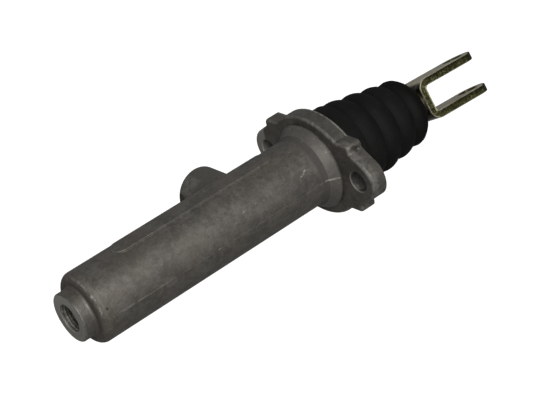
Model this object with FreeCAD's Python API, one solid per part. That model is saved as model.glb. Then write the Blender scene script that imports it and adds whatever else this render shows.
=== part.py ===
import FreeCAD, Part
from FreeCAD import Vector as V
from math import acos, asin, atan2, cos, pi, radians, sin, sqrt
import os

# Clutch master cylinder with a flanged iron body, a rubber boot and a fork on the pushrod.
# The origin is the middle of the flange's rear face, on the bore's axis.
# +X runs along the bore towards the fork, +Y points the way the inlet boss points, +Z is up.
# The pushrod hangs a little below the bore's axis, and the fork and the boot's folds hang with it.

# Barrel and outlet end
barrel_r = 18.0
body_front = -155.0
port_boss_r = 12.3
port_boss_len = 6.6
port_boss_edge = 0.9
port_boss_root = 1.3
barrel_shoulder_r = 4.0
port_thread_r = 7.0
port_thread_len = 14.0
port_chamfer = 0.4
passage_r = 2.5

# Bore
bore_r = 11.9
bore_end = -136.0
bore_mouth = 5.0
bore_bottom_chamfer = 1.0
mouth_chamfer = 0.6

# Marking pad and mould line
pad_half_w = 5.2
pad_rise = 0.45
pad_front = -125.0
pad_rear = -31.0
pad_edge = 0.3
seam_out = 0.32
seam_half_w = 0.3

# Inlet boss
inlet_x = -53.0
inlet_boss_r = 12.65
inlet_boss_top = 34.2
inlet_boss_edge = 0.8
inlet_boss_root = 2.0
inlet_thread_r = 8.0
inlet_thread_len = 13.0
inlet_chamfer = 0.6

# Neck and flange
neck_front = -15.2
neck_rear = -9.9
neck_r = 22.4
neck_root = 2.5
flange_t = 8.7
groove_in = 0.9
arc_r = 34.0
arc_top = 26.3
lug_half_w = 31.2
lug_top = 18.2
lug_side = 4.07
lug_corner_r = 2.3
lug_root_r = 1.2
ear_hole_y = 33.5
ear_r = 10.6
bolt_hole_r = 5.25
bolt_chamfer = 0.5
rim_round = 1.7
rim_chamfer = 0.4

# Spigot for the boot
spigot_r = 18.6
spigot_end = 13.0
spigot_groove_r = 17.4
spigot_groove_x = 5.0
spigot_groove_w = 3.0
spigot_chamfer = 0.8
boot_seat_depth = 0.35
boot_seat_gap = 0.4

# Stop washer and snap ring in the spigot's mouth
recess_r = 14.0
washer_hole_r = 7.5
washer_t = 2.0
washer_chamfer = 0.8
washer_gap = 0.1
ring_t = 1.6
ring_groove_r = 15.1
ring_groove_gap = 0.1
ring_inner_r = 12.6
ring_eye_r = 2.4
ring_eye_hole_r = 1.0
ring_open_deg = 26.0

# Piston
piston_gap = 0.07
stop_gap = 0.05
piston_head = -52.0
head_land = 2.2
waist_r = 8.6
rear_land_front = -20.0
seal_groove_front = -16.0
seal_groove_rear = -10.0
seal_groove_r = 8.8
feed_hole_r = 0.9
feed_hole_pcd = 19.6
feed_hole_count = 6
land_chamfer = 0.3
ball_x = 0.8
ball_r = 7.9
ball_gap = 0.1

# Seals
seal_gap = 0.03
cup_gap = 0.05
cup_washer_t = 0.5
cup_len = 6.4
cup_base_t = 3.2
lip_t = 1.9
secondary_web_t = 2.4

# Ports from the inlet to the bore
relief_r = 0.5
relief_ahead = 1.2
feed_r = 2.0
feed_behind = 4.4

# Return spring and its seat
seat_r = 8.4
seat_t = 1.2
seat_cap_r = 5.0
seat_cap_len = 5.0
wire_r = 1.1
coil_r = 7.0
coil_turns = 10.0
spring_gap = 0.1

# Pushrod
rod_hang_deg = 2.0
rod_r = 5.0
neck_rod_r = 4.2
neck_rod_end = 12.0
rod_groove_r = 4.2
rod_groove_w = 3.0
shoulder_r = 7.0
shoulder_t = 1.2
tail_r = 4.5
rivet_r = 5.4
rivet_h = 1.5

# Fork
fork_back = 60.4
fork_tip = 102.1
strip_t = 4.1
strip_w = 19.0
fork_outer_w = 21.9
fork_bend_r = 6.0
fork_turn_deg = 25.0
pin_r = 5.05
pin_chamfer = 0.4
strip_edge = 0.35

# Boot
boot_t = 1.6
boot_gap = 0.06
boot_front_gap = 0.15
mouth_r = 22.7
mouth_len = 10.6
mouth_edge = 1.2
mouth_bevel = (0.7, 1.0)
fold_lap = 1.8
creases = [(11.8, 20.8), (22.9, 19.4), (34.2, 17.6), (45.4, 15.8)]
crests = [22.05, 20.9, 19.2]
last_crest = (50.0, 17.8)
boot_tail = [(52.8, 16.6), (55.2, 14.4), (57.2, 11.4)]
boot_rear = 58.0
boot_rear_r = 9.6
bead_gap = 0.08


def cyl(r, x0, x1, y=0.0, z=0.0):
    return Part.makeCylinder(r, x1 - x0, V(x0, y, z), V(1, 0, 0))


def cone(r0, r1, x0, x1):
    return Part.makeCone(r0, r1, x1 - x0, V(x0, 0, 0), V(1, 0, 0))


def box(x0, x1, y0, y1, z0, z1):
    return Part.makeBox(x1 - x0, y1 - y0, z1 - z0, V(x0, y0, z0))


def turned(points):
    """Solid of revolution about the bore's axis from (x, r) corners."""
    wire = Part.makePolygon([V(x, r, 0) for x, r in points + points[:1]])
    return Part.Face(wire).revolve(V(0, 0, 0), V(1, 0, 0), 360)


def edges_where(shape, test):
    return [e for e in shape.Edges if test(e)]


def rings(shape, r, x, tol=0.02):
    """Circular edges of radius r about the bore's axis, at x."""
    found = []
    for e in shape.Edges:
        c = e.Curve
        if isinstance(c, Part.Circle) and abs(c.Radius - r) < tol and abs(c.Center.x - x) < tol:
            found.append(e)
    return found


def ear_flank():
    """Angle round the ear's middle of the point where the straight flank from the lug touches it."""
    root_y = lug_half_w - ear_hole_y
    root_z = lug_top - lug_side
    return atan2(root_z, root_y) - acos(ear_r / sqrt(root_y ** 2 + root_z ** 2))


def flange_corners():
    """Where the flange's top arc, lug and ear meet: arc end, arc centre, ear tangent point, lug root."""
    arc_c = arc_top - arc_r
    y_lug = sqrt(arc_r ** 2 - (lug_top - arc_c) ** 2)
    a = ear_flank()
    return y_lug, arc_c, ear_hole_y + ear_r * cos(a), ear_r * sin(a), lug_top - lug_side


def flange_face(x):
    """Flat outline of the flange in the plane at x, as one face."""
    y_lug, arc_c, tan_y, tan_z, root_z = flange_corners()
    mid_a = ear_flank() / 2
    mid_arc = radians(90) - atan2(y_lug, lug_top - arc_c) / 2
    quarter = [
        ("arc", (0, arc_top), (arc_r * cos(mid_arc), arc_c + arc_r * sin(mid_arc)), (y_lug, lug_top)),
        ("line", (y_lug, lug_top), (lug_half_w, lug_top)),
        ("line", (lug_half_w, lug_top), (lug_half_w, root_z)),
        ("line", (lug_half_w, root_z), (tan_y, tan_z)),
        ("arc", (tan_y, tan_z), (ear_hole_y + ear_r * cos(mid_a), ear_r * sin(mid_a)),
         (ear_hole_y + ear_r, 0)),
    ]
    edges = []
    for sy, sz in ((1, 1), (1, -1), (-1, -1), (-1, 1)):
        for item in quarter:
            pts = [V(x, sy * p[0], sz * p[1]) for p in item[1:]]
            if item[0] == "arc":
                edges.append(Part.Arc(*pts).toShape())
            else:
                edges.append(Part.makeLine(*pts))
    wire = Part.Wire(Part.__sortEdges__(edges))
    return Part.Face(wire)


def flange_plate():
    plate = flange_face(-flange_t).extrude(V(flange_t, 0, 0))

    def corner(e):
        if not isinstance(e.Curve, Part.Line):
            return False
        a, b = [v.Point for v in e.Vertexes]
        return abs(abs(a.x - b.x) - flange_t) < 0.01

    def at(e, y, z):
        p = e.Vertexes[0].Point
        return abs(abs(p.y) - y) < 0.05 and abs(abs(p.z) - z) < 0.05

    y_lug, arc_c, tan_y, tan_z, root_z = flange_corners()
    outer = [e for e in plate.Edges if corner(e) and at(e, lug_half_w, lug_top)]
    plate = plate.makeFillet(lug_corner_r, outer)
    roots = [e for e in plate.Edges if corner(e) and (at(e, lug_half_w, root_z) or at(e, y_lug, lug_top))]
    plate = plate.makeFillet(lug_root_r, roots)
    rim = [e for e in plate.Edges if all(abs(v.Point.x + flange_t) < 0.01 for v in e.Vertexes)]
    plate = plate.makeFillet(rim_round, rim)
    rear = [e for e in plate.Edges if all(abs(v.Point.x) < 0.01 for v in e.Vertexes)]
    return plate.makeChamfer(rim_chamfer, rear)


def shoulder_rounds():
    """Radii of the barrel's front shoulder and of the root of the port boss, within the step between them."""
    step = barrel_r - port_boss_r
    root = min(port_boss_root, 0.25 * step)
    return min(barrel_shoulder_r, step - root - 0.05), root


def barrel_blank():
    """Outside of the casting without the flange: port boss, barrel, neck and spigot."""
    root_x = body_front + port_boss_len
    shoulder, root = shoulder_rounds()
    blank = turned([
        (body_front, 0), (body_front, port_boss_r), (root_x, port_boss_r), (root_x, barrel_r),
        (neck_front, barrel_r), (neck_rear, neck_r), (neck_rear + 0.5, neck_r - groove_in),
        (-flange_t / 2, neck_r - groove_in), (-flange_t / 2, spigot_r), (spigot_end, spigot_r),
        (spigot_end, 0),
    ])
    blank = blank.makeFillet(shoulder, rings(blank, barrel_r, root_x))
    blank = blank.makeFillet(root, rings(blank, port_boss_r, root_x))
    blank = blank.makeFillet(port_boss_edge, rings(blank, port_boss_r, body_front))
    blank = blank.makeFillet(neck_root, rings(blank, barrel_r, neck_front))
    return blank.makeChamfer(spigot_chamfer, rings(blank, spigot_r, spigot_end))


def marking_pad():
    """Flat strip raised on top of the barrel, with round ends and a softened edge."""
    sunk = barrel_r - 3
    top_z = barrel_r + pad_rise
    deep = box(pad_front + pad_half_w, pad_rear - pad_half_w, -pad_half_w, pad_half_w, sunk, top_z)
    for x in (pad_front + pad_half_w, pad_rear - pad_half_w):
        deep = deep.fuse(Part.makeCylinder(pad_half_w, top_z - sunk, V(x, 0, sunk)))
    deep = deep.removeSplitter()
    top = edges_where(deep, lambda e: all(abs(v.Point.z - top_z) < 0.01 for v in e.Vertexes))
    return deep.makeChamfer(pad_edge, top)


def mould_seam():
    """Low ridge where the two mould halves met, along both sides of the barrel and round the ears."""
    root_x = body_front + port_boss_len + shoulder_rounds()[0]
    w = barrel_r + seam_out
    side = [(root_x, 0), (root_x, w), (neck_front, w), (neck_rear, neck_r + seam_out),
            (neck_rear, 0)]
    ridge = None
    for s in (1, -1):
        wire = Part.makePolygon([V(x, s * y, -seam_half_w) for x, y in side + side[:1]])
        piece = Part.Face(wire).extrude(V(0, 0, 2 * seam_half_w))
        reach = ear_hole_y + ear_r + seam_out
        lo, hi = sorted((s * (reach - 3), s * reach))
        ear = box(-flange_t + rim_round, -rim_chamfer * 2, lo, hi, -seam_half_w, seam_half_w)
        piece = piece.fuse(ear)
        ridge = piece if ridge is None else ridge.fuse(piece)
    return ridge


def inlet_boss():
    boss = Part.makeCylinder(inlet_boss_r, inlet_boss_top, V(inlet_x, 0, 0), V(0, 1, 0))
    rim = edges_where(boss, lambda e: all(abs(v.Point.y - inlet_boss_top) < 0.01 for v in e.Vertexes))
    return boss.makeFillet(inlet_boss_edge, [e for e in rim if isinstance(e.Curve, Part.Circle)])


def cup_front_x():
    return piston_head - cup_washer_t - cup_gap - cup_len


def relief_x():
    return cup_front_x() - relief_ahead


def feed_x():
    return piston_head + feed_behind


def body_cuts():
    """Everything drilled and bored in the casting."""
    cuts = [
        cyl(bore_r, bore_end + bore_bottom_chamfer, bore_mouth),
        cone(bore_r - bore_bottom_chamfer, bore_r, bore_end, bore_end + bore_bottom_chamfer),
        cone(bore_r, bore_r + mouth_chamfer, bore_mouth - mouth_chamfer, bore_mouth),
        cyl(recess_r, bore_mouth, spigot_end + 1),
        cyl(port_thread_r, body_front - 1, body_front + port_thread_len),
        cone(port_thread_r + port_chamfer, port_thread_r, body_front, body_front + port_chamfer),
        cone(port_thread_r, 0.01, body_front + port_thread_len, body_front + port_thread_len + 2.5),
        cyl(passage_r, body_front + port_thread_len, bore_end + 1),
    ]
    ring_x = bore_mouth + washer_t + washer_gap
    cuts.append(cyl(ring_groove_r, ring_x, ring_x + ring_t + 2 * ring_groove_gap))
    floor = inlet_boss_top - inlet_thread_len
    up = V(0, 1, 0)
    cuts.append(Part.makeCylinder(inlet_thread_r, inlet_thread_len + 1, V(inlet_x, floor, 0), up))
    cuts.append(Part.makeCone(inlet_thread_r, inlet_thread_r + inlet_chamfer, inlet_chamfer,
                              V(inlet_x, inlet_boss_top - inlet_chamfer, 0), up))
    cuts.append(Part.makeCylinder(relief_r, floor, V(relief_x(), 1, 0), up))
    cuts.append(Part.makeCylinder(feed_r, floor, V(feed_x(), 1, 0), up))
    for s in (1, -1):
        y = s * ear_hole_y
        cuts.append(cyl(bolt_hole_r, -flange_t - 1, 1, y))
        cuts.append(Part.makeCone(bolt_hole_r + bolt_chamfer, bolt_hole_r, bolt_chamfer,
                                  V(-flange_t, y, 0), V(1, 0, 0)))
    groove = cyl(spigot_r + 1, spigot_groove_x, spigot_groove_x + spigot_groove_w)
    cuts.append(groove.cut(cyl(spigot_groove_r, spigot_groove_x - 1, spigot_groove_x + spigot_groove_w + 1)))
    seat = cyl(mouth_r + boot_seat_gap, -boot_seat_depth, 1)
    cuts.append(seat.cut(cyl(spigot_r, -boot_seat_depth - 1, 2)))
    return cuts


def cylinder_body():
    blank = barrel_blank()
    blank = blank.fuse(inlet_boss()).removeSplitter()

    def on_joint(e):
        b = e.BoundBox
        near_x = b.XMin > inlet_x - inlet_boss_r - 0.1 and b.XMax < inlet_x + inlet_boss_r + 0.1
        near_y = b.YMin > barrel_r / 2 and b.YMax < barrel_r + 0.1
        return near_x and near_y and not isinstance(e.Curve, Part.Line)

    blank = blank.makeFillet(inlet_boss_root, edges_where(blank, on_joint))
    body = blank.fuse([flange_plate(), marking_pad(), mould_seam()])
    body = body.cut(body_cuts())
    return body.removeSplitter()


def piston():
    r = bore_r - piston_gap
    rear = bore_mouth - stop_gap
    c = land_chamfer
    shape = turned([
        (piston_head, 0), (piston_head, r - c), (piston_head + c, r), (piston_head + head_land, r),
        (piston_head + head_land, waist_r), (rear_land_front, waist_r), (rear_land_front, r - c),
        (rear_land_front + c, r), (seal_groove_front, r), (seal_groove_front, seal_groove_r),
        (seal_groove_rear, seal_groove_r), (seal_groove_rear, r), (rear - c, r), (rear, r - c), (rear, 0),
    ])
    socket = Part.makeSphere(ball_r + ball_gap, V(ball_x, 0, 0))
    socket = socket.fuse(cyl(ball_r + ball_gap, ball_x, rear + 1))
    socket = socket.fuse(cone(ball_r + ball_gap, ball_r + ball_gap + 0.8, rear - 0.8, rear))
    shape = shape.cut(socket)
    for i in range(feed_hole_count):
        a = 2 * pi * (i + 0.5) / feed_hole_count
        y = feed_hole_pcd / 2 * cos(a)
        z = feed_hole_pcd / 2 * sin(a)
        shape = shape.cut(cyl(feed_hole_r, piston_head - 1, piston_head + head_land + 1, y, z))
    return shape


def cup_washer():
    rear = piston_head
    return cyl(bore_r - 1.2, rear - cup_washer_t, rear).cut(cyl(2.0, rear - 2, rear + 1))


def primary_cup():
    rear = piston_head - cup_washer_t - cup_gap
    front = rear - cup_len
    r = bore_r - seal_gap
    floor = rear - cup_base_t
    return turned([
        (rear, 0), (rear, r - 0.5), (rear - 0.5, r - 0.15), (front + 1.0, r), (front, r - 0.3),
        (front, r - lip_t + 0.5), (floor - 0.8, r - lip_t - 0.3), (floor, r - lip_t - 1.1), (floor, 0),
    ])


def secondary_cup():
    r = bore_r - seal_gap
    inner = seal_groove_r + seal_gap
    front = seal_groove_front + cup_gap
    rear = seal_groove_rear - cup_gap
    web = rear - secondary_web_t
    return turned([
        (rear, inner), (rear, r - 0.4), (rear - 0.4, r - 0.1), (front + 0.8, r), (front, r - 0.25),
        (front, r - 0.9), (web, r - 1.4), (web, inner + 1.1), (front, inner + 0.7), (front, inner),
    ])


def seat_rear_x():
    return piston_head - cup_washer_t - cup_gap - cup_base_t - cup_gap


def spring_seat():
    """Pressed seat: a flat rim against the cup and a hollow cap inside the coil."""
    rear = seat_rear_x()
    front = rear - seat_t
    return turned([
        (rear, seat_cap_r - seat_t), (rear, seat_r), (front, seat_r), (front, seat_cap_r),
        (front - seat_cap_len + 0.6, seat_cap_r), (front - seat_cap_len, seat_cap_r - 0.6),
        (front - seat_cap_len, 1.5), (front - seat_cap_len + seat_t, 1.5),
        (front - seat_cap_len + seat_t, seat_cap_r - seat_t),
    ])


def return_spring():
    """Coil from the closed end of the bore to the spring seat, with its ends ground flat."""
    x0 = bore_end + spring_gap
    x1 = seat_rear_x() - seat_t - spring_gap
    pitch = (x1 - x0 - 2 * wire_r) / coil_turns
    helix = Part.makeHelix(pitch, pitch * coil_turns, coil_r)
    section = Part.Wire(Part.makeCircle(wire_r, V(coil_r, 0, 0), V(0, 1, pitch / (2 * pi * coil_r))))
    coil = Part.Wire(helix).makePipeShell([section], True, True)
    coil.rotate(V(0, 0, 0), V(0, 1, 0), 90)
    coil.translate(V(x0 + wire_r, 0, 0))
    return coil


def hung(shape):
    """The shape swung with the pushrod about its ball, to the side that the fork's lower arm is on."""
    turn = radians(fork_turn_deg)
    shape.rotate(V(ball_x, 0, 0), V(0, cos(turn), -sin(turn)), rod_hang_deg)
    return shape


def pushrod():
    groove_x = boot_rear - boot_t - rod_groove_w / 2
    shoulder_x = fork_back - shoulder_t
    tail_end = fork_back + strip_t
    shank = turned([
        (ball_x, 0), (ball_x, neck_rod_r), (neck_rod_end, neck_rod_r), (neck_rod_end + 1.5, rod_r),
        (groove_x - rod_groove_w / 2, rod_r), (groove_x - rod_groove_w / 2, rod_groove_r),
        (groove_x + rod_groove_w / 2, rod_groove_r), (groove_x + rod_groove_w / 2, rod_r),
        (shoulder_x, rod_r), (shoulder_x, shoulder_r), (fork_back, shoulder_r), (fork_back, tail_r),
        (tail_end, tail_r), (tail_end, rivet_r), (tail_end + 0.5, rivet_r - 0.1),
        (tail_end + rivet_h, rivet_r - 2.4), (tail_end + rivet_h, 0),
    ])
    ball = Part.makeSphere(ball_r, V(ball_x, 0, 0))
    ball = ball.cut(cyl(ball_r, ball_x - ball_r - 1, ball_x - ball_r + 0.6))
    return hung(shank.fuse(ball).removeSplitter())


def stop_washer():
    x0 = bore_mouth
    shape = cyl(recess_r - 0.1, x0, x0 + washer_t).cut(cyl(washer_hole_r, x0 - 1, x0 + washer_t + 1))
    return shape.makeChamfer(washer_chamfer, rings(shape, washer_hole_r, x0 + washer_t))


def snap_ring():
    """Open ring in the groove, with two eyes for the pliers at the gap."""
    x0 = bore_mouth + washer_t + washer_gap + ring_groove_gap
    r = ring_groove_r - ring_groove_gap
    ring = cyl(r, x0, x0 + ring_t).cut(cyl(ring_inner_r, x0 - 1, x0 + ring_t + 1))
    half = radians(ring_open_deg) / 2
    reach = 2 * r
    gap = Part.makePolygon([V(x0 - 1, 0, 0), V(x0 - 1, reach * sin(half), -reach * cos(half)),
                            V(x0 - 1, -reach * sin(half), -reach * cos(half)), V(x0 - 1, 0, 0)])
    ring = ring.cut(Part.Face(gap).extrude(V(ring_t + 2, 0, 0)))
    eye_c = recess_r - 0.4 - ring_eye_r
    turn = half + asin(ring_eye_r / eye_c) * 0.9
    for s in (1, -1):
        y = s * eye_c * sin(turn)
        z = -eye_c * cos(turn)
        ring = ring.fuse(cyl(ring_eye_r, x0, x0 + ring_t, y, z))
    for s in (1, -1):
        y = s * eye_c * sin(turn)
        z = -eye_c * cos(turn)
        ring = ring.cut(cyl(ring_eye_hole_r, x0 - 1, x0 + ring_t + 1, y, z))
    return ring.removeSplitter()


def fork():
    """Strip folded to a U round the web, arms ending round about the pin hole."""
    h = fork_outer_w / 2
    g = h - strip_t
    back = fork_back + fork_bend_r
    inner_r = fork_bend_r - strip_t
    k = sqrt(0.5)

    def side(r, z, s):
        """Flat arm and quarter bend of one surface of the strip, on the side s of the axis."""
        a = V(back, 0, s * z)
        m = V(back - r * k, 0, s * (z - r + r * k))
        b = V(back - r, 0, s * (z - r))
        return [Part.makeLine(V(fork_tip, 0, s * z), a), Part.Arc(a, m, b).toShape()]

    edges = side(fork_bend_r, h, 1) + side(fork_bend_r, h, -1)
    edges += side(inner_r, g, 1) + side(inner_r, g, -1)
    for x, z in ((fork_back, h - fork_bend_r), (fork_back + strip_t, g - inner_r)):
        edges.append(Part.makeLine(V(x, 0, z), V(x, 0, -z)))
    for s in (1, -1):
        edges.append(Part.makeLine(V(fork_tip, 0, s * h), V(fork_tip, 0, s * g)))
    face = Part.Face(Part.Wire(Part.__sortEdges__(edges)))
    face.translate(V(0, -strip_w / 2, 0))
    strip = face.extrude(V(0, strip_w, 0))
    pin_x = fork_tip - strip_w / 2
    keep = box(fork_back - 1, pin_x, -strip_w / 2, strip_w / 2, -h - 1, h + 1)
    keep = keep.fuse(Part.makeCylinder(strip_w / 2, 2 * h + 2, V(pin_x, 0, -h - 1)))
    strip = strip.common(keep).removeSplitter()

    def on_rim(e):
        b = e.BoundBox
        flat = b.ZLength < 0.01
        long = b.XLength > 5 and flat
        web = b.XLength < 0.01 and b.ZLength > 5
        bend = b.XLength > 1 and b.ZLength > 1 and b.YLength < 0.01
        return long or web or bend

    strip = strip.makeChamfer(strip_edge, edges_where(strip, on_rim))
    strip = strip.cut(Part.makeCylinder(pin_r, 2 * h + 2, V(pin_x, 0, -h - 1)))
    for s in (1, -1):
        mouth = Part.makeCone(pin_r, pin_r + pin_chamfer, pin_chamfer,
                              V(pin_x, 0, s * (h - pin_chamfer)), V(0, 0, s))
        strip = strip.cut(mouth)
    strip = strip.cut(cyl(tail_r, fork_back - 1, fork_back + strip_t + 1))
    strip.rotate(V(0, 0, 0), V(1, 0, 0), -fork_turn_deg)
    return hung(strip)


def arc(a, m, b):
    """Arc through three (x, r) points."""
    return Part.Arc(V(a[0], a[1], 0), V(m[0], m[1], 0), V(b[0], b[1], 0)).toShape()


def lines(points):
    """Straight edges from each (x, r) point to the next."""
    return [Part.makeLine(V(a[0], a[1], 0), V(b[0], b[1], 0)) for a, b in zip(points, points[1:])]


def spline(points):
    curve = Part.BSplineCurve()
    curve.interpolate([V(x, r, 0) for x, r in points])
    return curve.toShape()


def revolved(edges):
    """Solid of revolution about the bore's axis inside closed edges."""
    wire = Part.Wire(Part.__sortEdges__(edges))
    return Part.Face(wire).revolve(V(0, 0, 0), V(1, 0, 0), 360)


def boot_mouth():
    """Thick front of the boot, with a rib inside that snaps into the spigot's groove."""
    front = boot_front_gap - boot_seat_depth
    start = (front, mouth_r - mouth_edge)
    top = (front + mouth_edge, mouth_r)
    k = mouth_edge * (1 - sqrt(0.5))
    end = mouth_len + mouth_bevel[0]
    s_in = spigot_r + boot_gap
    g0 = spigot_groove_x + bead_gap
    g1 = spigot_groove_x + spigot_groove_w - bead_gap
    g_r = spigot_groove_r + boot_gap
    edges = [arc(start, (front + k, mouth_r - k), top)]
    edges += lines([
        top, (mouth_len, mouth_r), (end, mouth_r - mouth_bevel[1]), (end, s_in), (g1, s_in), (g1, g_r),
        (g0, g_r), (g0, s_in), (front, s_in), start,
    ])
    return revolved(edges)


def boot_folds():
    """Tapering folds behind the mouth, closed by a bead that sits in the rod's groove."""
    pts = list(creases)
    t = boot_t
    first = (pts[0][0] - fold_lap, pts[0][1])
    edges = lines([first, pts[0]])
    for a, b, crest in zip(pts, pts[1:], crests):
        edges.append(arc(a, ((a[0] + b[0]) / 2, crest), b))
        edges.append(arc((a[0], a[1] - t), ((a[0] + b[0]) / 2, crest - t), (b[0], b[1] - t)))
    rear = (boot_rear, boot_rear_r)
    edges.append(spline([pts[-1], last_crest] + boot_tail + [rear]))
    rear_in = rod_r + boot_gap
    bead_x = boot_rear - t - rod_groove_w / 2
    b0 = bead_x - rod_groove_w / 2 + bead_gap
    b1 = bead_x + rod_groove_w / 2 - bead_gap
    bead_r = rod_groove_r + boot_gap
    tail_in = (boot_tail[1][0] - 1.4, boot_tail[1][1] - 1.9)
    edges += lines([
        rear, (boot_rear, rear_in), (b1, rear_in), (b1, bead_r), (b0, bead_r), (b0, rear_in + 0.6), tail_in,
    ])
    edges.append(spline([tail_in, (boot_tail[0][0] - 0.8, boot_tail[0][1] - t),
                         (last_crest[0], last_crest[1] - t), (pts[-1][0], pts[-1][1] - t)]))
    edges += lines([(pts[0][0], pts[0][1] - t), (first[0], first[1] - t), first])
    return revolved(edges)


def boot():
    return boot_mouth().fuse(hung(boot_folds())).removeSplitter()


parts = {
    "cylinder_body": cylinder_body,
    "piston": piston,
    "cup_washer": cup_washer,
    "primary_cup": primary_cup,
    "secondary_cup": secondary_cup,
    "spring_seat": spring_seat,
    "return_spring": return_spring,
    "pushrod": pushrod,
    "stop_washer": stop_washer,
    "snap_ring": snap_ring,
    "fork": fork,
    "boot": boot,
}

os.makedirs("parts", exist_ok=True)
for name, make in parts.items():
    make().exportStep("parts/" + name + ".step")
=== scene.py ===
from math import asin, cos, hypot, pi, radians, sin

import bpy
from mathutils import Matrix, Vector


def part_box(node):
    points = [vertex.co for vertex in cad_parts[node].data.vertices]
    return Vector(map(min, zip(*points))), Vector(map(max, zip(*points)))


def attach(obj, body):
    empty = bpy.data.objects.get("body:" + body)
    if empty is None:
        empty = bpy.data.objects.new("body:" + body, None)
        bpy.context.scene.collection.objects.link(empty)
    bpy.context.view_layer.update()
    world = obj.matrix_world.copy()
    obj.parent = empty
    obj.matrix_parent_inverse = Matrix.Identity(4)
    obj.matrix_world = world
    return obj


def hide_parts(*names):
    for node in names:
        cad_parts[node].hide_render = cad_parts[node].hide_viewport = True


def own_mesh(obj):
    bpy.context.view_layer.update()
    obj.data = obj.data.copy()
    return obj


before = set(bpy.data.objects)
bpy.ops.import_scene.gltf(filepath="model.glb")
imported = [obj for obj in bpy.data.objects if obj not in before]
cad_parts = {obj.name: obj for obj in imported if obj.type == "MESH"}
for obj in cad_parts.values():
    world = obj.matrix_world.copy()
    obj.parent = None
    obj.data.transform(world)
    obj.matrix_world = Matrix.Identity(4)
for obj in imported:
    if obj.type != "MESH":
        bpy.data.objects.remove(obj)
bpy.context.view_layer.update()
for ob in bpy.context.selected_objects:
    ob.select_set(False)


# Cylinder body. One grey iron casting, blasted clean and left bare, with a fine sandy skin.
# The ports, the bolt holes, the bore and the flange's rear face are machined after casting.
# Handling has rubbed the edges of the flange, of the ears and of the shoulder brighter, painted highlights
# lie on the shoulder and along the flange's front, and painted shade darkens the holes and hollows.

class Wire:
    """A socket in a material, so that its values are added and multiplied as plain expressions."""

    def __init__(self, tree, socket=None):
        self.tree, self.socket = tree, socket

    def node(self, kind, sockets=None, out=0, **settings):
        """One output of a new node, whose settings are made before its sockets are set or linked."""
        made = self.tree.nodes.new(kind)
        for key, value in settings.items():
            setattr(made, key, value)
        for key, value in (sockets or {}).items():
            if isinstance(value, Wire):
                self.tree.links.new(value.socket, made.inputs[key])
            else:
                made.inputs[key].default_value = value
        return Wire(self.tree, made.outputs[out])

    def maths(self, operation, *others):
        """A Math node with this value first."""
        return self.node("ShaderNodeMath", dict(enumerate((self, *others))), operation=operation)

    def vector(self, operation, other=(0.0, 0.0, 0.0)):
        """A Vector Math node with this vector first. Some operations give a number, others a vector."""
        out = 1 if operation in ("DOT_PRODUCT", "DISTANCE", "LENGTH") else 0
        return self.node("ShaderNodeVectorMath", {0: self, 1: other}, out=out, operation=operation)

    def split(self):
        """The three parts of a vector."""
        return [self.node("ShaderNodeSeparateXYZ", {0: self}, out=i) for i in range(3)]

    def __add__(self, other):
        return self.maths("ADD", other)

    def __sub__(self, other):
        return self.maths("SUBTRACT", other)

    def __rsub__(self, other):
        return self * -1.0 + other

    def __mul__(self, other):
        return self.maths("MULTIPLY", other)

    def __pow__(self, other):
        return self.maths("POWER", other)

    __radd__, __rmul__ = __add__, __mul__

    def step(self, low, high):
        """0 below low, 1 above high, and smooth between them. With low above high it falls."""
        return self.node("ShaderNodeMapRange", {"Value": self, "From Min": low, "From Max": high},
                         interpolation_type="SMOOTHSTEP")

    def tint(self, colour_off, colour_on):
        """The first colour where this value is 0, the second where it is 1."""
        ends = {6: colour_off, 7: colour_on}
        for key, colour in ends.items():
            if not isinstance(colour, Wire):
                ends[key] = (*colour, 1.0)
        return self.node("ShaderNodeMix", {0: self, **ends}, out=2, data_type="RGBA")


def new_finish(name):
    """A material and its Object coordinates."""
    finish = bpy.data.materials.new(name)
    finish.use_nodes = True
    return finish, Wire(finish.node_tree).node("ShaderNodeTexCoord", out=3)


def noise(at, scale, detail=3.0, roughness=0.5, stretch=None):
    """Noise from 0 to 1, with its blobs about one over scale metres wide."""
    if stretch:
        at = at.vector("MULTIPLY", stretch)
    sockets = {"Vector": at, "Scale": scale, "Detail": detail, "Roughness": roughness}
    return at.node("ShaderNodeTexNoise", sockets)


def scratch(at, start, end, width):
    """1 on the line from start to end, and 0 further off it than its width."""
    way = Vector(end) - Vector(start)
    apart = at.vector("SUBTRACT", start)
    share = at.node("ShaderNodeClamp", {"Value": apart.vector("DOT_PRODUCT", way / way.length_squared)})
    nearest = at.node("ShaderNodeVectorMath", {0: way, "Scale": share}, operation="SCALE")
    return apart.vector("DISTANCE", nearest).step(width, width * 0.4)


def set_shader(finish, height=None, **sockets):
    """Sets the shader's sockets, with spaces for the underscores, and a bump from a height in metres."""
    shader = finish.node_tree.nodes["Principled BSDF"]
    if height is not None:
        bump = {"Height": height, "Strength": 1.0, "Distance": 1.0}
        sockets["Normal"] = height.node("ShaderNodeBump", bump)
    for name, value in sockets.items():
        socket = shader.inputs[name.replace("_", " ")]
        if isinstance(value, Wire):
            finish.node_tree.links.new(value.socket, socket)
        else:
            socket.default_value = value


def paint(ob, finish):
    ob.data.materials.clear()
    ob.data.materials.append(finish)


port_face, port_hole_r, port_bottom = -0.155, 0.007, -0.1385
inlet_face, inlet_hole_r, inlet_x = 0.0342, 0.008, -0.053
bolt_y, bolt_hole_r = 0.0335, 0.00525
neck_start, neck_foot = -0.0142, -0.0100

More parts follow.
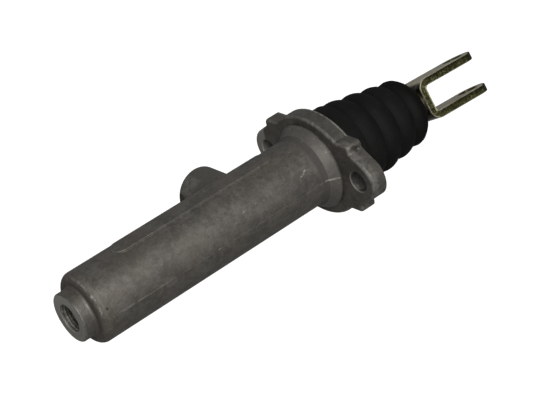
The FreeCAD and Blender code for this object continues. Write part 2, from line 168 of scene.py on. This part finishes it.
iron_dark, iron_mid, iron_light = (0.053, 0.049, 0.042), (0.091, 0.085, 0.076), (0.135, 0.128, 0.117)
stain_brown, pit_dark = (0.078, 0.064, 0.049), (0.030, 0.027, 0.022)
boss_grey, neck_grey, hollow_shade = (0.064, 0.061, 0.053), (0.105, 0.100, 0.091), (0.020, 0.018, 0.015)
rub_highlight_pale, fleck_pale, nick_pale = (0.33, 0.32, 0.285), (0.36, 0.35, 0.31), (0.40, 0.39, 0.36)
scratch_pale, rim_dark, rim_highlight_pale = (0.34, 0.33, 0.30), (0.036, 0.033, 0.028), (0.190, 0.184, 0.168)
cut_dull, cut_bright, face_highlight_pale = (0.19, 0.183, 0.165), (0.27, 0.26, 0.235), (0.335, 0.335, 0.315)
burr_pale, port_hole_shade, bolt_hole_shade = (0.30, 0.29, 0.26), (0.040, 0.039, 0.032), (0.028, 0.027, 0.021)
dint_shade = (0.020, 0.018, 0.015)

# Lean is how far a surface faces along the bore: -1 towards the outlet and 1 towards the fork.
# What ends in _out is measured outwards, so it is the same on both sides.
cast_iron, at = new_finish("cast_iron_blasted")
x, y, z = at.split()
y_out, z_out = y.maths("ABSOLUTE"), z.maths("ABSOLUTE")
radius = (y * y + z * z) ** 0.5
lean = at.node("ShaderNodeTexCoord", out=1).split()[0]
lean_out = lean.maths("ABSOLUTE")

# The sandy skin, mottled and pitted, with brown stains and paler grains.
blotch = noise(at, 100, 5, 0.7).step(0.28, 0.74)
sand = noise(at, 1050, 4, 0.65)
grit = noise(at, 380, 4, 0.75)
stain = noise(at, 48, 4, 0.6).step(0.42, 0.64)
pale_grain = noise(at, 260, 4, 0.7).step(0.55, 0.8)
speck = at.node("ShaderNodeTexVoronoi", {"Vector": at, "Scale": 260.0, "Randomness": 1.0}, feature="F1")
pit = speck.step(0.12, 0.05) * noise(at, 60, 2).step(0.54, 0.64) * 0.6
large_pit = scratch(at, (-0.1442, -0.0172, 0.0050), (-0.1440, -0.0174, 0.0046), 0.0007)
pit = (pit + large_pit).maths("MINIMUM", 1.0)
skin = (sand * 0.34 + grit * 0.48 + blotch * 0.18).step(0.38, 0.62)
colour = skin.tint(iron_dark, iron_mid)
colour = (stain * 0.3).tint(colour, stain_brown)
colour = (pale_grain * 0.45).tint(colour, iron_light)
colour = (pit * 0.8).tint(colour, pit_dark)

# The inlet boss is smoother, and so is the neck, which was linished up to a sharp border.
# The hollow before the neck was left rough, and painted shade darkens it.
boss = y.step(0.0150, 0.0190) * x.step(-0.0360, -0.0390)
neck = x.step(neck_start - 0.0002, neck_start + 0.0002) * x.step(neck_foot + 0.0004, neck_foot - 0.0004)
neck = neck * radius.step(0.0265, 0.0250)
hollow = x.step(neck_start - 0.0058, neck_start - 0.0023) * x.step(neck_start + 0.0002, neck_start - 0.0001)
colour = (boss * 0.65).tint(colour, boss_grey)
colour = (neck * 0.35).tint(colour, neck_grey)
colour = (hollow * 0.8).tint(colour, hollow_shade)

# Edges rubbed bright: the flange's rear edge, the mould's parting line along the barrel and across the neck,
# and the raised pad's edge.
# The flange's front rounding and the shoulder behind the outlet carry painted highlights, mottled by wear.
worn = noise(at, 420, 4, 0.7).step(0.34, 0.60)
near_side = y.step(0.0, -0.001)
rear_edge = x.step(-0.0015, -0.0009) * lean.step(0.985, 0.95) * radius.step(0.0200, 0.0220)
rear_edge = rear_edge * z.step(0.0150, 0.0180) * y.step(-0.0245, -0.0215)
# Painted highlight: pale streaks along the flange's front rounding.
front_edge = x.step(-0.0060, -0.0068) * lean.step(-0.25, -0.45) * lean.step(-0.96, -0.86)
front_edge = front_edge * radius.step(0.0250, 0.0254)
# Painted highlight: a pale crease on the shoulder's upper near side, with worn flecks.
shoulder = radius.step(0.0145, 0.0150) * x.step(-0.1440, -0.1448)
shoulder = shoulder * lean.step(-0.50, -0.58) * lean.step(-0.84, -0.74)
shoulder = shoulder * z.step(0.0005, 0.0045) * y.step(0.0040, 0.0010)
parting = z_out.step(0.00065, 0.00035) * radius.step(0.0178, 0.0180) * near_side
parting = parting * (x.step(-0.100, -0.122) * 0.3 + 0.3)
neck_parting = z_out.step(0.00060, 0.00030) * x.step(-0.0162, -0.0152) * x.step(-0.0098, -0.0106) * near_side
pad_edge = radius.step(0.01803, 0.01812) * radius.step(0.01843, 0.01834) * z.step(0.012, 0.015)
pad_edge = pad_edge * x.step(-0.0295, -0.0303) * y_out.step(0.0072, 0.0062)
rub_and_highlight = rear_edge + front_edge * 0.2 + shoulder * 0.2 + parting * 0.5 + pad_edge * 0.3 + neck_parting
rub_and_highlight = rub_and_highlight.maths("MINIMUM", 1.0) * worn
fleck = noise(at, 760, 3, 0.6).step(0.54, 0.64)
colour = (rub_and_highlight * 0.8).tint(colour, rub_highlight_pale)
colour = (shoulder * fleck * 0.35).tint(colour, fleck_pale)

# The near ear has a rubbed corner, and the flange's rim is dark, with a painted highlight as a pale band
# along its front on the near side.
corner = (z + 0.0028 - x * 0.3).maths("ABSOLUTE").step(0.00055, 0.00020)
corner = corner * y.step(-0.0415, -0.0425) * lean_out.step(0.5, 0.3)
rim = x.step(-0.0085, -0.0078) * lean_out.step(0.35, 0.15) * radius.step(0.0236, 0.0246)
rim_highlight = x.step(-0.0030, -0.0058) * lean.step(-0.30, -0.12) * radius.step(0.0285, 0.0310)
rim_highlight = rim_highlight * y.step(0.0, -0.01) * grit.step(0.35, 0.60)
colour = (corner * 0.5 * worn).tint(colour, rub_highlight_pale)
colour = (rim * 0.3).tint(colour, rim_dark)
colour = (rim_highlight * 0.4).tint(colour, rim_highlight_pale)

# Small nicks all over, a double scratch on the barrel near the neck, and a dint in the near lug, darkened
# with painted shade.
nick = noise(at, 520, 1, 0.4, (0.6, 1.4, 1.4)).step(0.76, 0.82) * noise(at, 90, 2).step(0.42, 0.58)
long_scratch = scratch(at, (-0.02847, -0.01635, 0.00752), (-0.02373, -0.01516, 0.00971), 0.00062)
short_scratch = scratch(at, (-0.02247, -0.0154, 0.00931), (-0.02242, -0.01638, 0.00746), 0.0005)
scratched = (long_scratch * 0.8 + short_scratch * 0.6).maths("MINIMUM", 1.0)
scratched = scratched * noise(at, 900, 3, 0.6).step(0.38, 0.64)
dint = scratch(at, (-0.0046, -0.0304, 0.0158), (-0.0036, -0.0306, 0.0150), 0.0018)
colour = (nick * 0.55).tint(colour, nick_pale)
colour = (scratched * 0.65).tint(colour, scratch_pale)
colour = (dint * 0.75).tint(colour, dint_shade)

# The bolt holes are drilled. Painted shade darkens them inside, most on the far ear and towards the top, and
# their turned chamfer is painted bright only on its lower inward side as a painted highlight.
bolt_gap = ((y_out - bolt_y) ** 2.0 + z * z) ** 0.5
bolt_hole_shading = 0.6 - grit.step(0.45, 0.58) * 0.36 + y.step(0.0, 0.01) * 0.35
bolt_hole_shading = bolt_hole_shading * bolt_gap.step(bolt_hole_r + 0.0003, bolt_hole_r + 0.0001)
bolt_hole_shading = bolt_hole_shading * (z.step(-0.0040, 0.0010) * 0.55 + 0.45)
lit_side = (bolt_y - y_out - z * 0.7).step(0.0005, 0.0050) * 0.35
lit_chamfer = bolt_gap.step(bolt_hole_r + 0.0007, bolt_hole_r + 0.0005)
lit_chamfer = lit_chamfer * bolt_gap.step(bolt_hole_r + 0.0001, bolt_hole_r + 0.0002) * lit_side
colour = bolt_hole_shading.tint(colour, bolt_hole_shade)

# Turned places: the flange's rear face, the chamfers, both ports and the bore's mouth.
in_port = x.step(port_bottom + 0.0005, port_bottom - 0.0005)
inlet_gap = ((x - inlet_x) ** 2.0 + z * z) ** 0.5
inlet_hole = inlet_gap.step(inlet_hole_r + 0.0005, inlet_hole_r + 0.0001) * y.step(0.0205, 0.0210)
# The bolt holes' chamfers count here only on their lower inward side, as a painted highlight.
cut = x.step(-0.0004, -0.00015) + lit_chamfer + inlet_hole
cut = cut + y.step(inlet_face - 0.00012, inlet_face - 0.00004)
cut = cut + radius.step(port_hole_r + 0.0006, port_hole_r + 0.0001) * in_port
cut = cut + radius.step(0.0131, 0.0129) * x.step(-0.1372, -0.1368) * x.step(0.012, 0.011)
cut = cut + x.step(port_face + 0.00012, port_face + 0.00004) * 0.85
cut = cut.maths("MINIMUM", 1.0)
ring = (radius * 2600.0).maths("SINE") * 0.5 + 0.5
colour = cut.tint(colour, (ring * 0.35 + sand * 0.65).tint(cut_dull, cut_bright))

# The outlet's face has a painted highlight at its top, its lower edge has a slight burr, and painted shade
# darkens its hole.
face_highlight = x.step(port_face + 0.0002, port_face + 0.0001) * z.step(-0.0060, 0.0100)
burr = x.step(port_face + 0.0009, port_face + 0.0005) * radius.step(0.0098, 0.0112)
burr = burr * (y * 0.6 + z * 0.8).step(0.004, -0.006) * worn
port_hole_shading = radius.step(port_hole_r + 0.0009, port_hole_r + 0.0004)
port_hole_shading = port_hole_shading * x.step(port_face + 0.0002, port_face + 0.0012) * in_port
colour = (face_highlight * 0.5).tint(colour, face_highlight_pale)
colour = (burr * 0.2).tint(colour, burr_pale)
colour = (port_hole_shading * 0.75).tint(colour, port_hole_shade)

swell = noise(at, 150, 2, 0.5)
dust = noise(at, 2600, 2)
front_round = x.step(-0.1490, -0.1484) * x.step(-0.1436, -0.1450)
height = sand * 0.00009 + swell * 0.00012 + dust * 0.00002 - pit * 0.0003
height = height * (1.0 - cut * 0.85) * (1.0 - neck * 0.6) + ring * cut * 0.000006 - dint * 0.0006
roughness = 0.42 + sand * 0.12 + hollow * 0.42 + front_edge * 0.26 + front_round * 0.14 - cut * 0.06
metallic = 0.55 - hollow * 0.5 + cut * 0.1 + rub_and_highlight * 0.1
set_shader(cast_iron, height, Base_Color=colour, Metallic=metallic, Roughness=roughness,
           Specular_IOR_Level=0.5)
paint(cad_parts["cylinder_body"], cast_iron)


# Port threads. Cut in the casting with taps, M14 x 1.5 at the outlet and M16 x 1.5 at the inlet.
# Each is one helical ridge that stands in from the hole's wall and runs out at both ends.

thread_pitch = 0.0015
thread_dull, thread_bright, thread_shade = (0.055, 0.053, 0.044), (0.20, 0.195, 0.172), (0.050, 0.049, 0.038)


def tapped_thread(name, axis, mouth, wall, turns, way):
    """Ridge along the axis from its mouth, way being the sign of the way in."""
    bpy.ops.mesh.primitive_circle_add(vertices=4, radius=thread_pitch * 0.5)
    ridge = bpy.context.object
    ridge.name = name
    out = (0, wall, 0) if axis == "X" else (wall, 0, 0)
    flatter = (1.0, 0.93, 1.0) if axis == "X" else (0.93, 1.0, 1.0)
    bpy.ops.object.mode_set(mode="EDIT")
    bpy.ops.mesh.select_all(action="SELECT")
    bpy.ops.transform.resize(value=flatter, center_override=(0, 0, 0))
    bpy.ops.mesh.bevel(offset=thread_pitch * 0.09, segments=1, affect="VERTICES")
    bpy.ops.transform.translate(value=out)
    bpy.ops.object.mode_set(mode="OBJECT")
    screw = ridge.modifiers.new("thread", "SCREW")
    screw.axis = axis
    screw.angle = 2 * pi
    screw.screw_offset = way * thread_pitch
    screw.iterations = turns
    screw.steps = screw.render_steps = 72
    bpy.ops.object.modifier_apply(modifier=screw.name)
    bpy.ops.object.mode_set(mode="EDIT")
    bpy.ops.mesh.select_all(action="SELECT")
    bpy.ops.mesh.fill_holes(sides=12)
    bpy.ops.mesh.select_all(action="SELECT")
    bpy.ops.mesh.normals_make_consistent(inside=False)
    bpy.ops.object.mode_set(mode="OBJECT")
    a, b, c = (0, 1, 2) if axis == "X" else (1, 0, 2)
    length = turns * thread_pitch
    for v in ridge.data.vertices:
        along = abs(v.co[a])
        rise = min(along, length + thread_pitch - along, thread_pitch) / thread_pitch
        r = hypot(v.co[b], v.co[c])
        new_r = wall + (r - wall) * max(rise, 0.0) ** 0.6
        v.co[b] *= new_r / r
        v.co[c] *= new_r / r
    ridge.location = mouth
    bpy.ops.object.transform_apply(location=True, rotation=True, scale=True)
    bpy.ops.object.shade_smooth_by_angle(angle=radians(40))
    ridge.select_set(False)
    return ridge


thread_iron, at = new_finish("thread_cut_iron")
x = at.split()[0]
tone = noise(at, 700, 4, 0.6)
drag = noise(at, 2400, 2, 0.5)
# Painted shade darkens the threads deeper in the outlet.
deep_shade = x.step(port_face + 0.0020, port_face + 0.0038) * x.step(port_bottom + 0.0005, port_bottom - 0.0005)
colour = tone.step(0.3, 0.7).tint(thread_dull, thread_bright)
colour = (deep_shade * 0.7).tint(colour, thread_shade)
set_shader(thread_iron, drag * 0.00002 + tone * 0.00002, Base_Color=colour, Metallic=0.35,
           Roughness=0.38 + tone * 0.2, Specular_IOR_Level=0.3)

outlet_thread = tapped_thread("outlet_thread", "X", (port_face + 0.0008, 0, 0), port_hole_r, 8, 1)
inlet_thread = tapped_thread("inlet_thread", "Y", (inlet_x, inlet_face - 0.0011, 0), inlet_hole_r, 7, -1)
for thread in (outlet_thread, inlet_thread):
    paint(thread, thread_iron)
    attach(thread, "cylinder")


# Return spring. Oiled spring steel wire, coiled, between the closed end of the bore and its seat.
# It shortens with the stroke, so it flattens towards the seat that the piston carries.

wire_r, coil_r, coils = 0.0011, 0.0070, 10
wire_dark, wire_bright = (0.055, 0.055, 0.058), (0.13, 0.13, 0.135)
coil_front, coil_back = [corner.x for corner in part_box("return_spring")]
coil_len = coil_back - coil_front

bpy.ops.mesh.primitive_circle_add(vertices=14, radius=wire_r)
spring = bpy.context.object
spring.name = "return_coil"
bpy.ops.object.mode_set(mode="EDIT")
bpy.ops.mesh.select_all(action="SELECT")
bpy.ops.transform.translate(value=(0, coil_r, 0))
bpy.ops.object.mode_set(mode="OBJECT")
wind = spring.modifiers.new("wind", "SCREW")
wind.axis, wind.angle, wind.screw_offset = "X", 2 * pi, (coil_len - 2 * wire_r) / coils
wind.iterations = coils
wind.steps = wind.render_steps = 48
bpy.ops.object.modifier_apply(modifier=wind.name)
bpy.ops.object.mode_set(mode="EDIT")
bpy.ops.mesh.select_all(action="SELECT")
bpy.ops.mesh.fill_holes(sides=16)
bpy.ops.mesh.select_all(action="SELECT")
bpy.ops.mesh.normals_make_consistent(inside=False)
bpy.ops.object.mode_set(mode="OBJECT")
spring.location.x = coil_front + wire_r
bpy.ops.object.transform_apply(location=True, rotation=True, scale=True)
bpy.ops.object.shade_smooth_by_angle(angle=radians(50))
spring.select_set(False)

spring_steel, at = new_finish("oiled_spring_steel")
streak = noise(at, 900, 3, 0.6, (1.0, 0.4, 0.4))
oil = noise(at, 160, 3, 0.5)
set_shader(spring_steel, streak * 0.00001, Base_Color=streak.step(0.3, 0.7).tint(wire_dark, wire_bright),
           Metallic=0.85, Roughness=0.28 + oil * 0.25)
paint(spring, spring_steel)
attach(spring, "piston")
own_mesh(spring)
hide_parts("return_spring")


# Spring seat, cup washer and stop washer. Pressed from zinc-plated steel sheet.
# The seat holds the spring off the primary cup, and the stop washer keeps the piston in the bore.

zinc_dull, zinc_bright = (0.36, 0.36, 0.35), (0.52, 0.52, 0.50)

zinc_steel, at = new_finish("zinc_plated_steel")
bloom = noise(at, 240, 4, 0.6)
brush = noise(at, 2200, 2, 0.5, (0.25, 1.0, 1.0))
set_shader(zinc_steel, brush * 0.000008 + bloom * 0.00001, Metallic=0.9, Roughness=0.30 + bloom * 0.22,
           Base_Color=bloom.step(0.3, 0.7).tint(zinc_dull, zinc_bright))
for name in ("spring_seat", "cup_washer", "stop_washer"):
    paint(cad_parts[name], zinc_steel)


# Piston. Turned from aluminium bar and polished on its lands, with six feed holes through the head.
# Fine rings from the lathe run round it.

alloy_dull, alloy_bright = (0.50, 0.50, 0.48), (0.70, 0.70, 0.68)

piston_alloy, at = new_finish("turned_aluminium")
lathe = (at.split()[0] * 16000.0 + noise(at, 90, 2) * 3.0).maths("SINE") * 0.5 + 0.5
smear = noise(at, 320, 4, 0.6)
colour = (lathe * 0.4 + smear * 0.6).step(0.2, 0.8).tint(alloy_dull, alloy_bright)
set_shader(piston_alloy, lathe * 0.000004 + smear * 0.000006, Base_Color=colour, Metallic=1.0,
           Roughness=0.22 + smear * 0.2)
paint(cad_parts["piston"], piston_alloy)


# Primary and secondary cups. Moulded seal rubber, smooth where the lips meet the bore.
# The primary cup lies in front of the piston, and the secondary cup in the groove at its rear.

seal_dark, seal_grey = (0.010, 0.010, 0.010), (0.020, 0.020, 0.019)

seal_rubber, at = new_finish("seal_rubber_smooth")
bloom = noise(at, 380, 3, 0.6)
set_shader(seal_rubber, bloom * 0.00001, Base_Color=bloom.step(0.3, 0.75).tint(seal_dark, seal_grey),
           Roughness=0.42 + bloom * 0.2, Specular_IOR_Level=0.3)
for name in ("primary_cup", "secondary_cup"):
    paint(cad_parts[name], seal_rubber)


# Snap ring. A stamped spring steel ring with two eyes, oiled like the return spring.
# It is snapped into the groove in the bore's mouth and holds the stop washer there.

paint(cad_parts["snap_ring"], spring_steel)


# Pushrod. Turned steel with a ball at one end, zinc plated and yellow passivated.
# Its tail goes through the fork's web and is riveted over. At rest it hangs a little about its ball.

gold_dull, gold_bright, gold_green = (0.46, 0.42, 0.30), (0.60, 0.57, 0.47), (0.40, 0.40, 0.22)


def passivated(name, shade):
    """Yellow passivated zinc: pale gold with greenish and brownish clouds, duller where it was rubbed."""
    finish, at = new_finish(name)
    dull, bright, green = [[part * shade for part in gold] for gold in (gold_dull, gold_bright, gold_green)]
    cloud = noise(at, 190, 4, 0.62)
    grit = noise(at, 1500, 3, 0.6)
    colour = cloud.step(0.32, 0.68).tint(dull, bright)
    colour = (noise(at, 420, 3, 0.7).step(0.58, 0.74) * 0.6).tint(colour, green)
    return finish, at, cloud, grit, colour


rod_plating, at, cloud, grit, colour = passivated("passivated_rod_steel", 1.0)
lathe = (at.split()[0] * 12000.0).maths("SINE") * 0.5 + 0.5
set_shader(rod_plating, lathe * 0.000004 + grit * 0.00001, Base_Color=colour, Metallic=0.9,
           Roughness=0.30 + cloud * 0.2 + lathe * 0.05)
paint(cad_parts["pushrod"], rod_plating)


# Fork. Steel strip bent to a U and riveted to the pushrod, zinc plated and yellow passivated.
# Its broad faces are smooth and pale, and its sheared edges are rough and dark olive.

ball, hang, fork_turn = Vector((0.0008, 0, 0)), radians(2.0), radians(25.0)
hang_line = Vector((0, cos(fork_turn), -sin(fork_turn)))
rod_line = Vector((cos(hang), -sin(hang) * sin(fork_turn), -sin(hang) * cos(fork_turn)))
pin_line = Vector((sin(hang), cos(hang) * sin(fork_turn), cos(hang) * cos(fork_turn)))
pin_at = ball + rod_line * 0.0918
olive_dark, olive_mid, olive_fleck = (0.008, 0.008, 0.003), (0.058, 0.056, 0.020), (0.29, 0.29, 0.14)
web_shade_dark, pin_wall_dark, edge_shade = (0.012, 0.009, 0.003), (0.045, 0.040, 0.016), (0.006, 0.006, 0.002)
corner_gold, rim_gold = (0.50, 0.48, 0.32), (0.80, 0.77, 0.58)

# Across is how far a surface faces along the strip's width, which only the sheared edges do.
fork_plating, at, cloud, grit, colour = passivated("passivated_strip_steel", 0.92)
x = at.split()[0]
facing = at.node("ShaderNodeTexCoord", out=1)
lean = facing.split()[0]
across = facing.vector("DOT_PRODUCT", hang_line).maths("ABSOLUTE")
sheared = (across.step(0.90, 0.97) + lean.step(0.25, 0.42) * x.step(0.0940, 0.0960)).maths("MINIMUM", 1.0)
drag = noise(at, 800, 4, 0.7, (1.0, 0.5, 1.0))
olive = drag.step(0.34, 0.62).tint(olive_dark, olive_mid)
olive = (noise(at, 760, 4, 0.75).step(0.53, 0.68) * 0.7).tint(olive, olive_fleck)
colour = sheared.tint(colour, olive)

# Painted shade darkens the web's face towards the boot, and the pin hole's wall is dark.
from_pin = at.vector("SUBTRACT", pin_at)
pin_wall = from_pin.vector("CROSS_PRODUCT", pin_line).vector("LENGTH").step(0.00560, 0.00545)
web_shade = lean.step(-0.45, -0.75) * (cloud.step(0.60, 0.42) * 0.1 + 0.88)
colour = web_shade.tint(colour, web_shade_dark)
colour = (pin_wall * 0.9).tint(colour, pin_wall_dark)

# Painted shade darkens the arms' sheared edges towards the top, and the web's inner corner was rubbed
# bright.
rise = from_pin.vector("DOT_PRODUCT", pin_line)
back = from_pin.vector("DOT_PRODUCT", rod_line)
shade = rise.step(0.0078, 0.0104) + rise.step(-0.0098, -0.0074) * rise.step(0.0, -0.004)
shade = shade * back.step(-0.030, -0.024)
corner = back.step(-0.02925, -0.02885) * back.step(-0.0268, -0.0274)
corner = corner * rise.maths("ABSOLUTE").step(0.0074, 0.0064) * across.step(0.4, 0.6)
colour = (shade * sheared * 0.75).tint(colour, edge_shade)
colour = (corner * 0.6).tint(colour, corner_gold)

# Round the web, the edge between a broad face and a sheared one is rubbed bright.
rounded = at.node("ShaderNodeBevel", {"Radius": 0.0006}, samples=6)
turn = 1.0 - rounded.vector("DOT_PRODUCT", at.node("ShaderNodeNewGeometry", out=1))
bright_edge = turn.step(0.02, 0.14) * across.step(0.15, 0.4) * x.step(0.078, 0.070)
colour = (bright_edge * 0.85).tint(colour, rim_gold)
set_shader(fork_plating, grit * 0.00001 + sheared * drag * 0.00012, Base_Color=colour, Metallic=0.9,
           Roughness=0.30 + cloud * 0.16 + sheared * 0.22 + pin_wall * 0.3)
paint(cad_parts["fork"], fork_plating)


# Rubber boot. One moulded bellows of matte black rubber. Its thick mouth grips the spigot behind the
# flange, four tapering folds follow, and its lip at the rear is a disc in the pushrod's groove.

spigot_fit, groove_r, rubber_wall = 0.01866, 0.00426, 0.0010
mouth_start, mouth_end, mouth_r, mouth_edge = -0.0002, 0.0106, 0.0227, 0.0012
creases = [(0.0118, 0.0208), (0.0229, 0.0194), (0.0342, 0.0176), (0.0454, 0.0158)]
crests = [0.02205, 0.0209, 0.0192]
tail = [(0.0463, 0.01655), (0.0478, 0.01745), (0.0500, 0.0178), (0.0515, 0.01745), (0.0528, 0.0166),
        (0.0541, 0.0156), (0.0552, 0.0144), (0.0563, 0.0130), (0.0572, 0.0114)]
rear_wall = [(0.0576, 0.0109), (0.05785, 0.0104), (0.0580, 0.0097), (0.0580, 0.0084), (0.05785, 0.0080),
             (0.0576, 0.0078)]
rubber_dark, rubber_grey = (0.0028, 0.0028, 0.0026), (0.0054, 0.0054, 0.0050)
rubber_bloom, rubber_rear_shade = (0.0125, 0.0123, 0.0115), (0.0012, 0.0012, 0.0010)


def fold_rings(a, crest, b, steps):
    """Rings (x, r) of a round fold from crease a over its crest to crease b, without a itself."""
    half = (b[0] - a[0]) / 2
    rise = crest - (a[1] + b[1]) / 2
    big = (half * half + rise * rise) / (2 * rise)
    spread = asin(half / big)
    for i in range(1, steps + 1):
        turn = -spread + 2 * spread * i / steps
        x = (a[0] + b[0]) / 2 + big * sin(turn)
        lean = a[1] + (b[1] - a[1]) * (x - a[0]) / (b[0] - a[0])
        yield x, lean + big * cos(turn) - (big - rise)


def moulded_rings(name, rings, hung_from=None, hung_behind=None):
    """A rubber skin pulled ring by ring along the bore's axis from the first (x, r).
    Its rings turn with the pushrod about its ball, by nothing at hung_from and fully at hung_behind."""
    x0, r0 = rings[0]
    bpy.ops.mesh.primitive_circle_add(vertices=112, radius=r0, location=(x0, 0, 0), rotation=(0, pi / 2, 0))
    skin = bpy.context.object
    skin.name = name
    bpy.ops.object.transform_apply(location=True, rotation=True, scale=True)
    bpy.ops.object.mode_set(mode="EDIT")
    bpy.ops.mesh.select_all(action="SELECT")
    for (xa, ra), (xb, rb) in zip(rings, rings[1:]):
        bpy.ops.mesh.extrude_region_move(TRANSFORM_OT_translate={"value": (xb - xa, 0, 0)})
        if abs(rb - ra) > 1e-7:
            bpy.ops.transform.resize(value=(1, rb / ra, rb / ra), center_override=(xb, 0, 0))
    bpy.ops.mesh.select_all(action="SELECT")
    bpy.ops.mesh.remove_doubles(threshold=1e-6)
    bpy.ops.mesh.normals_make_consistent(inside=False)
    bpy.ops.object.mode_set(mode="OBJECT")
    if hung_behind is not None:
        for v in skin.data.vertices:
            share = min(max((v.co.x - hung_from) / (hung_behind - hung_from), 0.0), 1.0)
            v.co = ball + Matrix.Rotation(hang * share, 3, hang_line) @ (v.co - ball)
    bpy.ops.object.shade_smooth_by_angle(angle=radians(38))
    skin.select_set(False)
    return skin


mouth_rings = [(mouth_start, spigot_fit), (mouth_start, mouth_r - mouth_edge)]
for i in range(1, 6):
    turn = pi / 2 * i / 5
    ring_x = mouth_start + mouth_edge * (1 - cos(turn))
    ring_r = mouth_r - mouth_edge + mouth_edge * sin(turn)
    mouth_rings.append((ring_x, ring_r))
mouth_rings += [(0.0035, mouth_r), (0.0070, mouth_r), (mouth_end - 0.0006, mouth_r),
                (mouth_end - 0.0002, mouth_r - 0.0001), (mouth_end, mouth_r - 0.0003), (0.0112, 0.0217),
                (0.0113, 0.0214), (0.0113, 0.0210), (0.0110, 0.0208), (0.0098, 0.0208), (0.0096, 0.0206),
                (0.0096, 0.0190), (0.0094, spigot_fit), (0.0079, spigot_fit), (0.0079, 0.01746),
                (0.0051, 0.01746), (0.0051, spigot_fit), (mouth_start, spigot_fit)]
boot_mouth = moulded_rings("boot_mouth", mouth_rings)

bellows_rings = [(0.0102, 0.0203), (0.0110, 0.0205), creases[0]]
for a, crest, b in zip(creases, crests, creases[1:]):
    bellows_rings += list(fold_rings(a, crest, b, 12))
bellows = moulded_rings("boot_bellows", bellows_rings + tail + rear_wall, 0.0106, 0.0250)
bpy.context.view_layer.objects.active = bellows
wall = bellows.modifiers.new("wall", "SOLIDIFY")
wall.thickness, wall.offset = rubber_wall, -1.0
bpy.ops.object.modifier_apply(modifier=wall.name)

lip_rings = [(0.0547, 0.0101), (0.0548, 0.0104), (0.0553, 0.0104), (0.0555, 0.0101), (0.0556, 0.0076),
             (0.0560, 0.0070), (0.0563, 0.0062), (0.0563, groove_r), (0.0535, groove_r), (0.0535, 0.0062),
             (0.0542, 0.0072), (0.0547, 0.0078), (0.0547, 0.0101)]
boot_lip = moulded_rings("boot_lip", lip_rings, 0.0, 0.01)

boot_rubber, at = new_finish("boot_rubber_matte")
x, y, z = at.split()
grain = noise(at, 2100, 3, 0.6)
cloud = noise(at, 110, 4, 0.6)
uneven = noise(at, 85, 2, 0.5)
seam = y.maths("ABSOLUTE").step(0.00022, 0.00008) * ((y * y + z * z) ** 0.5).step(0.009, 0.011)
colour = (grain * 0.35 + cloud * 0.65).step(0.28, 0.72).tint(rubber_dark, rubber_grey)
colour = (noise(at, 260, 4, 0.7).step(0.56, 0.78) * 0.35).tint(colour, rubber_bloom)
# Painted shade darkens the rear of the boot, towards the fork.
colour = (x.step(0.0440, 0.0520) * 0.95).tint(colour, rubber_rear_shade)
height = grain * 0.00003 + cloud * 0.00010 + uneven * 0.00045 + seam * 0.00008
set_shader(boot_rubber, height, Base_Color=colour, Roughness=0.60 + grain * 0.14 + cloud * 0.08,
           Specular_IOR_Level=0.07)

# The mouth stays with the body, and the folds, which shorten with the stroke, are here attached to the
# piston. The lip goes with the rod, and as the rod swings it slides across the opening in the bellows' rear
# wall and keeps it closed.
for piece in (boot_mouth, bellows, boot_lip):
    paint(piece, boot_rubber)
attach(boot_mouth, "cylinder")
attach(bellows, "piston")
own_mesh(bellows)
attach(boot_lip, "pushrod")
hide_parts("boot")


# Studio. A plain pale floor below the held part, one large soft lamp in front and above,
# and dim even light from all round. Floor and sky are white to the camera alone.

floor_z, floor_grey, sky_light = -0.12, (0.22, 0.22, 0.215, 1.0), 0.32
lamp_aim = Vector((-0.02, 0, 0))
camera_place = (-0.41909325, -0.60808740, 0.39031800)
camera_turn = (radians(60.35699), radians(13.63175), radians(-39.63999))
camera_lens = 116.2469

bpy.ops.mesh.primitive_plane_add(size=8.0, location=(0, 0, floor_z))
floor = bpy.context.object
floor.name = "floor"
bpy.ops.object.transform_apply(location=True, rotation=True, scale=True)
floor.select_set(False)

pale_floor, at = new_finish("pale_floor")
seen = at.node("ShaderNodeLightPath", out=0)
set_shader(pale_floor, Base_Color=floor_grey, Roughness=0.9, Specular_IOR_Level=0.0, Emission_Strength=1.0,
           Emission_Color=(seen * 0.97).tint((0.0, 0.0, 0.0), (1.0, 1.0, 1.0)))
paint(floor, pale_floor)

world = bpy.data.worlds.new("studio_air")
bpy.context.scene.world = world
world.use_nodes = True
sky = world.node_tree.nodes["Background"]
sky.inputs["Color"].default_value = (1.0, 1.0, 1.0, 1.0)
seen = Wire(world.node_tree).node("ShaderNodeLightPath", out=0)
sky_strength = sky_light + seen * (1.0 - sky_light)
world.node_tree.links.new(sky_strength.socket, sky.inputs["Strength"])


def soft_lamp(name, place, size, power):
    """A square lamp aimed at the middle of the part."""
    light = bpy.data.lights.new(name, "AREA")
    light.size, light.energy = size, power
    lamp = bpy.data.objects.new(name, light)
    bpy.context.scene.collection.objects.link(lamp)
    lamp.location = place
    lamp.rotation_euler = (lamp_aim - Vector(place)).to_track_quat("-Z", "Y").to_euler()


soft_lamp("front_lamp", (-0.37, -1.10, 0.93), 0.7, 26.0)
soft_lamp("low_lamp", (-0.30, -1.30, 0.12), 0.8, 7.0)
soft_lamp("left_lamp", (-1.25, -0.45, 0.75), 0.7, 2.5)

photo_view = bpy.data.cameras.new("photo_view")
photo_view.sensor_fit, photo_view.sensor_width, photo_view.lens = "HORIZONTAL", 36.0, camera_lens
photo_view.clip_start, photo_view.clip_end = 0.01, 20.0
camera = bpy.data.objects.new("photo_view", photo_view)
bpy.context.scene.collection.objects.link(camera)
camera.location = camera_place
camera.rotation_euler = camera_turn
bpy.context.scene.camera = camera
bpy.context.scene.view_settings.view_transform = "Standard"
